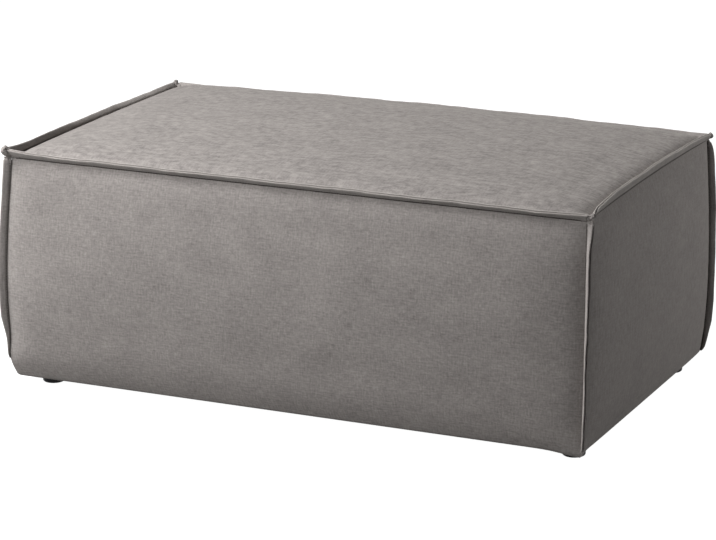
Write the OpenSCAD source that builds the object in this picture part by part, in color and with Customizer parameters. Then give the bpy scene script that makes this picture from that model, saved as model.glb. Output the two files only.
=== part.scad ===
// Upholstered footstool: a softwood frame with zigzag springs, foam and wadding, in a
// sewn cover whose panels meet in flanged seams, on four low plastic feet.
// Millimetres. +X runs along the long side, the front faces -Y, +Z is up, and the
// origin is on the floor under the middle.

/* [Overall size] */
// Length between the corner seams, left to right
seam_length = 965; // [800:5:1300]
// Depth between the corner seams, front to back
seam_depth = 564; // [480:2:800]
// Height of the top seams above the floor
seam_height = 373; // [330:1:460]

/* [Seat] */
// How far the padded seat stands above the top seams at its shoulder
top_shoulder = 15; // [6:1:20]
// Extra height of the seat's gentle dome in the middle
top_dome = 7; // [2:1:14]
// Distance from the front and back seams over which the seat's shoulder rises
long_seam_roll = 12; // [10:1:40]
// The same distance from the left and right seams
short_seam_roll = 22; // [12:1:50]
// Rise of the front top seam at its middle
front_lift = 0; // [0:0.5:8]
// Rise of the right top seam at its middle
right_lift = 5; // [0:0.5:8]
// Rise of the back top seam at its middle
back_lift = 5; // [0:0.5:8]
// Rise of the left top seam at its middle
left_lift = 2; // [0:0.5:8]

/* [Sides] */
// How far a side panel stands out from its seams at the shoulder
side_shoulder = 12; // [2:0.5:16]
// Extra fullness of a side panel in the middle
side_dome = 4; // [0:0.5:12]
// Distance from a seam over which a side panel's shoulder rises
side_roll = 26; // [18:1:60]
// Outward bow of the front left corner seam
front_left_bow = 11; // [-6:0.5:14]
// Outward bow of the front right corner seam
front_right_bow = -3; // [-6:0.5:14]
// Outward bow of the back right corner seam
back_right_bow = 7; // [-6:0.5:14]
// Outward bow of the back left corner seam
back_left_bow = 6; // [-6:0.5:14]
// How far the hem is pulled in under the top seams on each side
hem_inset = 1.6; // [0:0.2:8]
// Radius of the rounded edge at the hem
hem_round = 6; // [5:0.5:14]
// Width of the cloth that is turned under the frame
turn_under = 48; // [42:1:60]

/* [Cover] */
// Thickness of the woven cover cloth
cloth = 2; // [1:0.1:3]
// Gap between two soft layers or between two sewn edges
soft_gap = 0.3; // [0.2:0.05:0.5]
// Width of the flange that stands out along each seam
flange_width = 13; // [8:0.5:18]
// Thickness of the flange, four layers of cloth
flange_thick = 4; // [2:0.5:5]
// Height over which a corner flange widens from its lower end
flange_fade = 50; // [40:5:140]
// Height of each corner flange's lower end over the hem's rounded edge, from the front
// left corner anticlockwise, as in the lists that follow
flange_start = [40, 0, 0, 0]; // [0:5:60]
// Width of each corner flange at its lower end
flange_foot = [4, 7, 6, 6]; // [3:0.5:9]
// Width of each corner flange under its ear
flange_neck = [11, 12, 4, 5]; // [3:0.5:18]
// Height over which a corner flange narrows to its neck
neck_reach = 12; // [8:1:20]
// Turn of each corner flange under its ear, in degrees
corner_turn = [-30, 35, 0, 0]; // [-40:1:40]
// Height over which a corner flange turns
turn_reach = 26; // [15:1:40]

/* [Tilt of the top flanges] */
// Degrees above the horizontal at the start, middle and end of the front flange
front_tilt = [52, 50, 46]; // [10:1:90]
// The same for the right flange, from the front to the back
right_tilt = [80, 86, 72]; // [10:1:90]
// The same for the back flange, from the right to the left
back_tilt = [20, 25, 14]; // [10:1:90]
// The same for the left flange, from the back to the front
left_tilt = [20, 38, 72]; // [10:1:90]

/* [Corner ears] */
// Thickness of the folded ear where three flanges meet
ear_thick = 8; // [4:0.2:9]
// Distance along a seam over which its flange leans into an ear
ear_pull = 26; // [12:1:35]
// Reach of the front left ear to the side, to the front and up
front_left_ear = [13, 9, 18]; // [4:0.5:20]
// Reach of the front right ear to the side, to the front and up
front_right_ear = [14, 6, 11]; // [4:0.5:18]
// Reach of the back right ear to the side, to the back and up
back_right_ear = [7.5, 5, 9]; // [4:0.5:18]
// Reach of the back left ear to the side, to the back and up
back_left_ear = [6, 9.5, 8.5]; // [4:0.5:18]

/* [Padding] */
// Thickness of the polyester wadding under the cover
wadding = 5; // [3:0.5:8]
// Thickness of the foam on the sides, at the seams
side_foam = 5; // [4:1:14]
// Thickness of the seat foam at its edge
seat_foam_height = 80; // [50:5:110]
// Thickness of the felt between the springs and the seat foam
felt_thick = 3; // [2:0.5:5]

/* [Frame] */
// Thickness of the hardboard panels on the frame's sides
board_thick = 3; // [2:0.5:5]
// Thickness of the flat rails
rail_thick = 22; // [20:1:26]
// Width of the flat rails
rail_width = 45; // [42:1:60]
// Side of the square posts
post_size = 40; // [34:1:42]
// Length of a corner block along each rail
block_length = 95; // [85:5:120]
// Width left at a corner block's cut-off tips
block_tip = 12; // [6:1:20]
// Height of the stretcher between the middle posts
stretcher_height = 45; // [30:5:60]
// Depth of the stretcher's top under the top rails
stretcher_drop = 12; // [6:1:30]
// Diameter of the frame screws
screw_size = 4.5; // [3.5:0.5:5.5]
// Length of the frame screws
screw_length = 36; // [32:1:40]
// Diameter of a countersunk screw head
screw_head = 9; // [8:0.5:10]
// Height of that head
head_height = 3; // [2:0.5:3.5]
// Clearance round a screw or a dowel in its hole
hole_gap = 0.15; // [0.1:0.05:0.3]
// Diameter of the beech dowels
dowel_size = 8; // [6:1:10]
// Length of the dowels
dowel_length = 36; // [30:2:42]
// Distance between the two dowels of a joint
dowel_spacing = 16; // [14:1:18]
// Distance of the corner joints' middle from the faces of the frame
joint_inset = 26; // [25:0.5:28]

/* [Springs] */
// Number of zigzag springs
spring_count = 5; // [3:1:7]
// Diameter of the spring wire
wire = 3.8; // [3:0.1:4.5]
// Distance between two bars of a spring
spring_pitch = 32; // [28:1:34]
// Width of a spring over its bends
spring_width = 54; // [52:1:60]
// Thickness of the steel of a spring clip
clip_thick = 1.2; // [0.8:0.1:1.6]
// Width of a spring clip along its rail
clip_width = 14; // [10:1:14]
// Length of a clip's foot on its rail
clip_foot = 15; // [13:1:18]
// Least distance of a clip's foot from the outer edge of its rail
clip_inset = 4; // [2:1:6]
// Clearance between the wire and its clip
clip_gap = 0.2; // [0.1:0.05:0.4]

/* [Base] */
// Height of the plastic feet
foot_height = 9; // [8:0.2:25]
// Diameter of the feet
foot_size = 36; // [32:1:50]
// Radius of the rounded rim at a foot's lower edge
foot_round = 3.5; // [2:0.5:5]
// Width of the bevel round a foot's upper edge
foot_bevel = 1; // [0.5:0.1:2]
// Distance of the feet's screws from the left and right ends of the frame
foot_side_inset = 7.5; // [6.5:0.5:8.5]
// How much further from its end the front left foot stands
front_left_shift = 22; // [20:0.5:24]
// Distance of the front feet's screws from the front of the frame
front_foot_inset = 14; // [12:0.5:15]
// Distance of the back feet's screws from the back of the frame
back_foot_inset = 57; // [54:0.5:60]
// Diameter of the recess for the screw head in a foot
foot_recess = 12; // [11:0.5:16]
// Depth of that recess
foot_recess_depth = 3.5; // [3:0.5:4]
// Length of a foot's screw
foot_screw_length = 28; // [24:1:30]
// Thickness of the black dust cover under the frame
dust_cover_thick = 1; // [0.5:0.1:1.5]
// How far the dust cover overlaps the turned-under cloth
dust_cover_lap = 30; // [28:1:32]

/* [Hidden] */

// Sides and corners are numbered anticlockwise from above: side 0 is the front, then
// come the right, the back and the left, and side k runs from corner k to the next
FRONT = 0;
RIGHT = 1;
BACK = 2;
LEFT = 3;
corner_sign = [[-1, -1], [1, -1], [1, 1], [-1, 1]];
outward = [[0, -1, 0], [1, 0, 0], [0, 1, 0], [-1, 0, 0]];
corner_bow = [front_left_bow, front_right_bow, back_right_bow, back_left_bow];
seam_lift = [front_lift, right_lift, back_lift, left_lift];
seam_tilt = [front_tilt, right_tilt, back_tilt, left_tilt];
ear_size = [front_left_ear, front_right_ear, back_right_ear, back_left_ear];

half_length = seam_length / 2;
half_depth = seam_depth / 2;
dust_cover_base = foot_height + soft_gap;
hem_height = dust_cover_base + dust_cover_thick + soft_gap;
cover_rise = seam_height - hem_height;

// Depths of the layers under the outer face of the cover, and where the foam starts
wadding_in = cloth + soft_gap;
foam_in = wadding_in + wadding + soft_gap;
padding_top = seam_height - foam_in;

// The frame, from the outside inwards, from the floor up, and down from the seat foam
board_in = hem_inset + foam_in + side_foam + soft_gap;
rail_in = board_in + board_thick;
frame_x = half_length - rail_in;
frame_y = half_depth - rail_in;
frame_base = hem_height + cloth + soft_gap;
bottom_rail_top = frame_base + rail_thick;
felt_top = padding_top - seat_foam_height - soft_gap;
felt_base = felt_top - felt_thick;
clip_round = wire / 2 + clip_gap + clip_thick;
wire_height = felt_base - soft_gap - clip_round;
frame_top = wire_height - clip_round;
top_rail_base = frame_top - rail_thick;
stretcher_base = top_rail_base - stretcher_drop - stretcher_height;

// Steps of the soft surfaces: the cover is fine, and the layers under it are coarse
long_steps = 20;
short_steps = 14;
up_steps = 8;
edge_steps = 3;
// Least height between a layer's last row and the one under it
row_room = 2;
round_sides = 40;
wire_sides = 24;

// Steps from 0 to 1, drawn together at both ends, with a margin cut off each end
function spread(n, margin = 0) =
    [for (i = [0:n]) margin + (1 - 2 * margin) * (1 - cos(180 * i / n)) / 2];

// The same steps with every other one left out, but for the first and last two
function thinned(steps) =
    let (last = len(steps) - 1)
    [for (i = [0:last]) if (i % 2 == 0 || i == 1 || i == last - 1) steps[i]];

// Share of the way up from the hem to the top seams
function up(z) = max(0, (z - hem_height) / cover_rise);

// Rise of padding away from a seam: 0 at the seam, nearly 1 past three times the reach
function roll(distance, reach) = 1 - exp(-max(0, distance) / reach);

// Fullness up a side: 0 at the hem and the top seams, 1 a little below the middle
function fullness(t) = sin(180 * pow(t, 0.75));

// A dome's share of its height, across a width that runs from 0 to 1
function arch(u) = 1 - pow(2 * u - 1, 2);

function unit(v) = v / norm(v);

function side_run(k) = k % 2 == 0 ? seam_length : seam_depth;

// A point of the seam at corner k, moved in by inset, at height z
function corner_point(k, inset, z) =
    let (reach = corner_bow[k] * fullness(up(z)) - hem_inset * (1 - up(z)) - inset)
    [corner_sign[k][0] * (half_length + reach), corner_sign[k][1] * (half_depth + reach), z];

// A point of the padded side k, u of the way along it, moved in by inset, at height z
function side_point(k, u, inset, z) =
    let (
        start = corner_point(k, inset, z),
        end = corner_point((k + 1) % 4, inset, z),
        t = up(z),
        along = roll(u * side_run(k), side_roll) * roll((1 - u) * side_run(k), side_roll),
        rise = roll(t * cover_rise, side_roll) * roll((1 - t) * cover_rise, side_roll),
        swell = side_shoulder * along * rise + side_dome * arch(u) * fullness(t))
    start + (end - start) * u + outward[k] * swell + [0, 0, seam_lift[k] * arch(u) * t * t];

// A point of the padded seat at depth d under its outer face, u of the way to the right
// and v of the way to the back
function seat_point(u, v, d) =
    let (
        z = seam_height - d,
        front = side_point(FRONT, u, d, z),
        right = side_point(RIGHT, v, d, z),
        back = side_point(BACK, 1 - u, d, z),
        left = side_point(LEFT, 1 - v, d, z),
        corners = (1 - u) * (1 - v) * corner_point(0, d, z) + u * (1 - v) * corner_point(1, d, z)
            + u * v * corner_point(2, d, z) + (1 - u) * v * corner_point(3, d, z),
        ends = roll(u * seam_length, short_seam_roll) * roll((1 - u) * seam_length, short_seam_roll),
        shoulder = ends * roll(v * seam_depth, long_seam_roll)
            * roll((1 - v) * seam_depth, long_seam_roll))
    (1 - v) * front + v * back + (1 - u) * left + u * right - corners
        + [0, 0, top_shoulder * shoulder + top_dome * arch(u) * arch(v)];

// Rows of a side, each an inset and a height. The hem's rows run out from the cloth that
// is turned under and round the edge, and the upright rows go on from there
function hem_rows(d) =
    let (r = hem_round - d)
    concat(
        [[turn_under, hem_height + d]],
        [for (i = [0:edge_steps]) let (a = 90 * i / edge_steps)
            [d + r * (1 - sin(a)), hem_height + d + r * (1 - cos(a))]]);

levels = [for (s = spread(up_steps)) hem_height + hem_round + (cover_rise - hem_round) * s];

// Upright rows of a layer at depth d: every level from the first that lies under a
// height, and a last row
function upright_rows(d, last, under, first = 0) = concat(
    [for (i = [first:up_steps - 1]) if (levels[i] < under - row_room) [d, levels[i]]],
    [[d, last]]);

// Steps along side k, or every other one of them
function columns(k, fine) =
    spread((k % 2 == 0 ? long_steps : short_steps) / (fine ? 1 : 2), soft_gap / 2 / side_run(k));

function seat_columns(k, fine) = fine ? columns(k, true) : thinned(columns(k, true));

// Grids of points, in rows that run up a side or from the front of the seat to the back
function side_grid(k, rows, fine) =
    [for (row = rows) [for (u = columns(k, fine)) side_point(k, u, row[0], row[1])]];

function seat_grid(d, fine) =
    [for (v = seat_columns(RIGHT, fine)) [for (u = seat_columns(FRONT, fine)) seat_point(u, v, d)]];

// The same grid as a side's coarse one, pressed flat against the face of its board
function board_grid(k, grid) =
    let (
        long = k % 2 == 0,
        reach = (long ? half_depth : half_length) - board_in + soft_gap,
        run = (long ? half_length : half_depth) - board_in,
        along = [-outward[k][1], outward[k][0], 0],
        steps = columns(k, false))
    [for (row = grid) [for (i = [0:len(row) - 1])
        outward[k] * reach + along * run * (2 * steps[i] - 1) + [0, 0, row[i][2]]]];

// A closed solid between an outer and an inner grid of the same size
module layer(face, back) {
    n = len(face) - 1;
    m = len(face[0]) - 1;
    size = (n + 1) * (m + 1);
    function at(i, j) = i * (m + 1) + j;
    ring = concat(
        [for (j = [0:m]) at(0, j)],
        [for (i = [1:n]) at(i, m)],
        [for (j = [m - 1:-1:0]) at(n, j)],
        [for (i = [n - 1:-1:1]) at(i, 0)]);
    polyhedron(
        points = concat([for (row = face) each row], [for (row = back) each row]),
        faces = concat(
            [for (i = [0:n - 1], j = [0:m - 1]) each [
                [at(i, j), at(i + 1, j), at(i + 1, j + 1)],
                [at(i, j), at(i + 1, j + 1), at(i, j + 1)],
                [size + at(i, j), size + at(i + 1, j + 1), size + at(i + 1, j)],
                [size + at(i, j), size + at(i, j + 1), size + at(i + 1, j + 1)]]],
            [for (r = [0:len(ring) - 1]) let (p = ring[r], q = ring[(r + 1) % len(ring)]) each [
                [p, q, size + q],
                [p, size + q, size + p]]]));
}

// A closed solid through a list of sections with as many points each, which run
// clockwise as seen from the first section's outer side
module sweep(sections) {
    n = len(sections) - 1;
    m = len(sections[0]);
    polyhedron(
        points = [for (section = sections) each section],
        faces = concat(
            [[for (j = [0:m - 1]) j]],
            [[for (j = [m - 1:-1:0]) n * m + j]],
            [for (i = [0:n - 1], j = [0:m - 1]) let (k = (j + 1) % m) each [
                [i * m + j, (i + 1) * m + j, (i + 1) * m + k],
                [i * m + j, (i + 1) * m + k, i * m + k]]]));
}

// The cover: five panels of cloth, and the flanges that their seams stand out in
module top_cover() {
    color("gray") layer(seat_grid(0, true), seat_grid(cloth, true));
}

module side_cover(k) {
    edge = seam_height - soft_gap / 2;
    outer = concat(hem_rows(0), upright_rows(0, edge, padding_top, 1));
    inner = concat(hem_rows(cloth), upright_rows(cloth, edge - cloth, padding_top, 1));
    color("gray") difference() {
        layer(side_grid(k, outer, true), side_grid(k, inner, true));
        foot_places() foot_screw(hole_gap);
    }
}

// Where an ear's tip stands from its corner
function ear_tip(k) =
    [corner_sign[k][0] * ear_size[k][0], corner_sign[k][1] * ear_size[k][1], ear_size[k][2]];

// Least angle between an ear and a seam, and the distance along a seam from its corner to
// the end of its flange, clear of the ear
ear_lean = 36;
ear_room = (ear_thick / 2 + soft_gap) / sin(ear_lean);

// Tilt of top flange k, u of the way along it, on a curve through its three values
function tilt(k, u) =
    seam_tilt[k][0] * (1 - u) * (1 - 2 * u) + 4 * seam_tilt[k][1] * u * (1 - u)
        + seam_tilt[k][2] * u * (2 * u - 1);

// A flange's section stands on a seam that runs along, at root, and reaches to tip. The
// stitches pinch its foot, and it has its full thickness from its belly to its shoulder
function flange_section(root, tip, along) =
    let (
        reach = unit(tip - root),
        across = unit(cross(along, reach)) * flange_thick / 2,
        seam = root + reach * soft_gap,
        belly = root + reach * flange_thick / 2,
        shoulder = tip - reach * flange_thick / 3)
    [seam - across / 3, belly - across, shoulder - across, tip - across / 2,
        tip + across / 2, shoulder + across, belly + across, seam + across / 3];

module top_flange(k) {
    along = unit(corner_point((k + 1) % 4, 0, seam_height) - corner_point(k, 0, seam_height));
    steps = spread(k % 2 == 0 ? long_steps : short_steps, ear_room / side_run(k));
    color("dimgray") sweep([for (u = thinned(steps))
        let (
            root = side_point(k, u, 0, seam_height),
            plain = flange_width * (outward[k] * cos(tilt(k, u)) + [0, 0, sin(tilt(k, u))]),
            start = exp(-u * side_run(k) / ear_pull),
            end = exp((u - 1) * side_run(k) / ear_pull),
            lean = ear_tip(k) * start + ear_tip((k + 1) % 4) * end)
        flange_section(root, root + plain * (1 - start - end) + lean, along)]);
}

module corner_flange(k) {
    low = hem_height + hem_round + flange_start[k];
    high = seam_height - ear_room;
    color("dimgray") sweep([for (s = spread(up_steps))
        let (
            z = low + (high - low) * s,
            root = corner_point(k, 0, z),
            turn = corner_turn[k] * exp((z - seam_height) / turn_reach),
            out = atan2(corner_sign[k][1], corner_sign[k][0]) + turn,
            widened = (flange_width - flange_foot[k]) * min(1, (z - low) / flange_fade),
            necked = (flange_width - flange_neck[k]) * exp((z - seam_height) / neck_reach),
            width = flange_foot[k] + widened - necked)
        flange_section(root, root + width * [cos(out), sin(out), 0], [0, 0, 1])]);
}

// The folded ear where two top flanges and a corner flange meet
module corner_ear(k) {
    tip = ear_tip(k);
    along = unit(tip);
    flat = unit([-along[1], along[0], 0]);
    steep = cross(along, flat);
    root = corner_point(k, 0, seam_height);
    // Share of the way to the tip, and the share of the ear's full thickness there
    bulges = [[0.02, 0.7], [0.3, 1], [0.85, 1], [1, 0.75]];
    sweep([for (b = bulges) [for (a = [0:45:315])
        root + tip * b[0] + (flat * cos(a) + steep * sin(a)) * b[1] * ear_thick / 2]]);
}

module corner_ears() {
    color("dimgray") for (k = [FRONT:LEFT]) corner_ear(k);
}

// The padding: wadding under the cover, then foam
module top_wadding() {
    color("white") layer(seat_grid(wadding_in, false), seat_grid(wadding_in + wadding, false));
}

module side_wadding() {
    outer = upright_rows(wadding_in, seam_height - wadding_in - soft_gap, padding_top);
    inner = upright_rows(foam_in - soft_gap, padding_top, padding_top);
    for (k = [FRONT:LEFT])
        color("white") layer(side_grid(k, outer, false), side_grid(k, inner, false));
}

// The slab of seat foam, with its crowned top and a flat underside on the felt
module seat_foam() {
    top = seat_grid(foam_in, false);
    color("khaki") layer(top, [for (row = top) [for (p = row) [p[0], p[1], felt_top + soft_gap]]]);
}

module side_foam_pad(k) {
    rows = upright_rows(foam_in, felt_top, felt_top);
    grid = side_grid(k, rows, false);
    // The seams' lift is left out, so that the pad's top is level under the seat foam
    face = [for (i = [0:len(rows) - 1]) [for (p = grid[i]) [p[0], p[1], rows[i][1]]]];
    color("khaki") layer(face, board_grid(k, face));
}

module spring_felt() {
    color("lightgray") translate([-frame_x, -frame_y, felt_base])
        cube([2 * frame_x, 2 * frame_y, felt_thick]);
}

// Springs lie across the top rails, with as many bars as fit between the clips
bar_count = floor(2 * (frame_y - clip_foot - clip_inset) / spring_pitch) + 1;
spring_end = (bar_count - 1) * spring_pitch / 2;
bend = spring_pitch / 2;
bar_length = spring_width - 2 * bend - wire;
spring_step = 2 * (frame_x - rail_width) / spring_count;
spring_places = [for (i = [0:spring_count - 1]) (i - (spring_count - 1) / 2) * spring_step];

module zigzag_spring() {
    for (i = [0:bar_count - 1])
        translate([-bar_length / 2, i * spring_pitch - spring_end, wire_height])
            rotate([0, 90, 0]) cylinder(d = wire, h = bar_length, $fn = wire_sides);
    for (i = [0:bar_count - 2])
        translate([(i % 2 == 0 ? 1 : -1) * bar_length / 2, (i + 0.5) * spring_pitch - spring_end,
                wire_height])
            rotate([0, 0, i % 2 == 0 ? -90 : 90])
                rotate_extrude(angle = 180, $fn = round_sides)
                    translate([bend, 0]) circle(d = wire, $fn = wire_sides);
}

module zigzag_springs() {
    color("silver") for (x = spring_places) translate([x, 0, 0]) zigzag_spring();
}

// A clip's outline round the wire: a foot on the rail, a curl round the inner side, and
// an arm over the top, which the spring pulls the curl against
module clip_outline() {
    hole = wire / 2 + clip_gap;
    difference() {
        circle(r = clip_round, $fn = wire_sides);
        circle(r = hole, $fn = wire_sides);
        translate([-clip_round, -clip_round]) square([clip_round, 2 * clip_round]);
    }
    translate([-clip_foot, -clip_round]) square([clip_foot, clip_thick]);
    translate([-clip_foot / 2, hole]) square([clip_foot / 2, clip_thick]);
}

module spring_clips() {
    color("gainsboro") for (x = spring_places, side = [0, 180])
        rotate([0, 0, side]) translate([x - clip_width / 2, -spring_end, wire_height])
            rotate([90, 0, 90]) linear_extrude(clip_width) clip_outline();
}

// Frame joints: screws hold the posts and corner blocks, dowels the butted rails
post_x = frame_x - post_size / 2;
post_y = frame_y - post_size / 2;
block_screw_along = (post_size + block_length) / 2;

// A countersunk screw, or with a gap its hole, whose cone starts a gap lower and wider
module screw_body(gap, length) {
    cylinder(d = screw_size + 2 * gap, h = length + gap, $fn = round_sides);
    translate([0, 0, -gap])
        cylinder(d1 = screw_head + 4 * gap, d2 = screw_size + 2 * gap, h = head_height + gap,
            $fn = round_sides);
}

// Repeats what follows at the four corners, mirrored from the back right one
module four_corners() {
    for (sx = [0, 1], sy = [0, 1])
        mirror([sx, 0, 0]) mirror([0, sy, 0]) children();
}

module screws(gap = 0) {
    four_corners() {
        translate([post_x, post_y, frame_base]) screw_body(gap, screw_length);
        translate([post_x, post_y, frame_top]) mirror([0, 0, 1]) screw_body(gap, screw_length);
        for (way = [[block_screw_along, joint_inset], [joint_inset, block_screw_along]])
            translate([frame_x - way[0], frame_y - way[1], 0]) {
                translate([0, 0, bottom_rail_top + rail_thick]) mirror([0, 0, 1])
                    screw_body(gap, screw_length);
                translate([0, 0, top_rail_base - rail_thick]) screw_body(gap, screw_length);
            }
    }
    for (side = [0, 1]) mirror([0, side, 0]) {
        translate([0, post_y, frame_base]) screw_body(gap, screw_length);
        translate([0, post_y, frame_top]) mirror([0, 0, 1]) screw_body(gap, screw_length);
    }
}

// A dowel lies along Y, with half of its length on each side of the joint
module dowel(gap) {
    translate([0, -dowel_length / 2 - gap, 0]) rotate([-90, 0, 0])
        cylinder(d = dowel_size + 2 * gap, h = dowel_length + 2 * gap, $fn = round_sides);
}

module dowels(gap = 0) {
    joint_x = frame_x - joint_inset;
    joint_y = frame_y - rail_width;
    bottom = frame_base + rail_thick / 2;
    top = top_rail_base + rail_thick / 2;
    for (side = [0, 1], step = [-dowel_spacing / 2, dowel_spacing / 2]) mirror([0, side, 0]) {
        for (place = [[-joint_x, bottom], [0, bottom], [joint_x, bottom], [-joint_x, top], [joint_x, top]])
            translate([place[0] + step, joint_y, place[1]]) dowel(gap);
        translate([0, frame_y - post_size, stretcher_base + stretcher_height / 2 + step]) dowel(gap);
    }
}

module frame_screws() {
    color("silver") screws();
}

module frame_dowels() {
    color("tan") dowels();
}

// Cuts the holes of every fastener that meets a piece of timber
module drilled() {
    color("burlywood") difference() {
        children();
        screws(hole_gap);
        dowels(hole_gap);
        foot_places() foot_screw(hole_gap);
    }
}

// Rails that run the whole length, at the front or the back
module long_rail(z, side) {
    drilled() translate([-frame_x, side > 0 ? frame_y - rail_width : -frame_y, z])
        cube([2 * frame_x, rail_width, rail_thick]);
}

// Rails that run between them, centred at x
module cross_rail(z, x) {
    drilled() translate([x - rail_width / 2, rail_width - frame_y, z])
        cube([rail_width, 2 * (frame_y - rail_width), rail_thick]);
}

module middle_stretcher() {
    drilled() translate([-rail_thick / 2, post_size - frame_y, stretcher_base])
        cube([rail_thick, 2 * (frame_y - post_size), stretcher_height]);
}

module post(x, y) {
    translate([x - post_size / 2, y - post_size / 2, bottom_rail_top])
        cube([post_size, post_size, top_rail_base - bottom_rail_top]);
}

module corner_posts() {
    drilled() four_corners() post(post_x, post_y);
}

module middle_posts() {
    drilled() for (side = [-1, 1]) post(0, side * post_y);
}

// A block braces each corner of the bottom and the top frame, notched round the post
module corner_blocks() {
    notch = post_size;
    outline = [
        [notch, 0], [block_length, 0], [block_length, block_tip], [block_tip, block_length],
        [0, block_length], [0, notch], [notch, notch]
    ];
    drilled() four_corners()
        for (z = [bottom_rail_top, top_rail_base - rail_thick])
            translate([frame_x, frame_y, z]) rotate([0, 0, 180])
                linear_extrude(rail_thick) polygon(outline);
}

// Hardboard on the four sides of the frame; the short ones lie between the long ones
module board(k) {
    long = k % 2 == 0;
    size = long
        ? [2 * (frame_x + board_thick), board_thick, frame_top - frame_base]
        : [board_thick, 2 * frame_y, frame_top - frame_base];
    middle = long ? outward[k] * (frame_y + board_thick / 2) : outward[k] * (frame_x + board_thick / 2);
    color("saddlebrown")
        translate(middle + [-size[0] / 2, -size[1] / 2, frame_base]) cube(size);
}

// The base: a dust cover over the turned-under cloth, and four screwed feet
module dust_cover() {
    edge = hem_inset + turn_under - dust_cover_lap;
    size = [seam_length - 2 * edge, seam_depth - 2 * edge, dust_cover_thick];
    color("black") difference() {
        translate([-size[0] / 2, -size[1] / 2, dust_cover_base]) cube(size);
        foot_places() foot_screw(hole_gap);
    }
}

// The feet stand as the photo shows them, not quite evenly
module foot_place(k) {
    from_end = foot_side_inset + (k == 0 ? front_left_shift : 0);
    from_side = k < 2 ? front_foot_inset : back_foot_inset;
    translate([corner_sign[k][0] * (frame_x - from_end), corner_sign[k][1] * (frame_y - from_side), 0])
        children();
}

module foot_places() {
    for (k = [FRONT:LEFT]) foot_place(k) children();
}

module foot_screw(gap = 0) {
    translate([0, 0, foot_recess_depth]) screw_body(gap, foot_screw_length);
}

module foot(k) {
    r = foot_size / 2;
    outline = concat(
        [[0, 0]],
        [for (a = [0:15:90]) [r - foot_round + foot_round * sin(a), foot_round * (1 - cos(a))]],
        [[r, foot_height - foot_bevel], [r - foot_bevel, foot_height], [0, foot_height]]);
    color("black") foot_place(k) difference() {
        rotate_extrude($fn = round_sides) polygon(outline);
        translate([0, 0, -1])
            cylinder(d = foot_recess, h = foot_recess_depth + 1, $fn = round_sides);
        foot_screw(hole_gap);
    }
}

module foot_screws() {
    color("silver") foot_places() foot_screw();
}

long_rail(frame_base, -1);  // front_bottom_rail
long_rail(frame_base, 1);  // back_bottom_rail
cross_rail(frame_base, rail_width / 2 - frame_x);  // left_bottom_rail
cross_rail(frame_base, frame_x - rail_width / 2);  // right_bottom_rail
cross_rail(frame_base, 0);  // middle_bottom_rail
long_rail(top_rail_base, -1);  // front_top_rail
long_rail(top_rail_base, 1);  // back_top_rail
cross_rail(top_rail_base, rail_width / 2 - frame_x);  // left_top_rail
cross_rail(top_rail_base, frame_x - rail_width / 2);  // right_top_rail
middle_stretcher();
corner_posts();
middle_posts();
corner_blocks();
board(FRONT);  // front_board
board(RIGHT);  // right_board
board(BACK);  // back_board
board(LEFT);  // left_board
frame_dowels();
frame_screws();
zigzag_springs();
spring_clips();
spring_felt();
seat_foam();
side_foam_pad(FRONT);  // front_foam
side_foam_pad(RIGHT);  // right_foam
side_foam_pad(BACK);  // back_foam
side_foam_pad(LEFT);  // left_foam
top_wadding();
side_wadding();
top_cover();
side_cover(FRONT);  // front_cover
side_cover(RIGHT);  // right_cover
side_cover(BACK);  // back_cover
side_cover(LEFT);  // left_cover
top_flange(FRONT);  // front_top_flange
top_flange(RIGHT);  // right_top_flange
top_flange(BACK);  // back_top_flange
top_flange(LEFT);  // left_top_flange
corner_flange(0);  // front_left_flange
corner_flange(1);  // front_right_flange
corner_flange(2);  // back_right_flange
corner_flange(3);  // back_left_flange
corner_ears();
dust_cover();
foot(0);  // front_left_foot
foot(1);  // front_right_foot
foot(2);  // back_right_foot
foot(3);  // back_left_foot
foot_screws();
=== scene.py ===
"""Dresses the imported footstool: a padded woven cover with sewn flanges over its frame.

Metres, in the frame of the CAD model: +X along the long side, the front faces -Y.
"""
import math

import bpy
import numpy as np
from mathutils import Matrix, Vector, noise


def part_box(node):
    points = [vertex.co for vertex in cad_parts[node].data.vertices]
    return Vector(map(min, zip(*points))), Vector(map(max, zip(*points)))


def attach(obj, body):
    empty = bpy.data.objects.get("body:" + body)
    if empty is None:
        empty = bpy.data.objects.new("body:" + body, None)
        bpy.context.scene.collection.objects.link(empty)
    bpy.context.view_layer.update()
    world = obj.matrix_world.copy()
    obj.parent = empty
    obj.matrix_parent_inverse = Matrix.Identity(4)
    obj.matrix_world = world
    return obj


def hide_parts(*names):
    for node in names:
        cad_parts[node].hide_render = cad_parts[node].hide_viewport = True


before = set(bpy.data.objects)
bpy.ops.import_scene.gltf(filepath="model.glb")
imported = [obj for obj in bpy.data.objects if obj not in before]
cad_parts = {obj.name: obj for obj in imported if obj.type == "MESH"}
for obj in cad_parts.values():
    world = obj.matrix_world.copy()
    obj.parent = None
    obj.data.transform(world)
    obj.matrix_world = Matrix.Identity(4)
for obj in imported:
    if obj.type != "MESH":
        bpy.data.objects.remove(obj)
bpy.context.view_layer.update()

MM = 0.001

# The cover's form. Its sizes are the CAD model's, apart from two at the front: the right
# corner's seam bows 1 mm out, and the left corner is puffed out under its flange's end
SEAM_LENGTH = 965 * MM
SEAM_DEPTH = 564 * MM
SEAM_HEIGHT = 373 * MM
HEM_HEIGHT = 10.6 * MM
TOP_SHOULDER = 15 * MM
TOP_DOME = 7 * MM
LONG_SEAM_ROLL = 12 * MM
SHORT_SEAM_ROLL = 22 * MM
SIDE_SHOULDER = 12 * MM
SIDE_DOME = 4 * MM
SIDE_ROLL = 26 * MM
HEM_INSET = 1.6 * MM
HEM_ROUND = 6 * MM
TURN_UNDER = 48 * MM
CLOTH = 2 * MM
SOFT_GAP = 0.3 * MM

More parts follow.
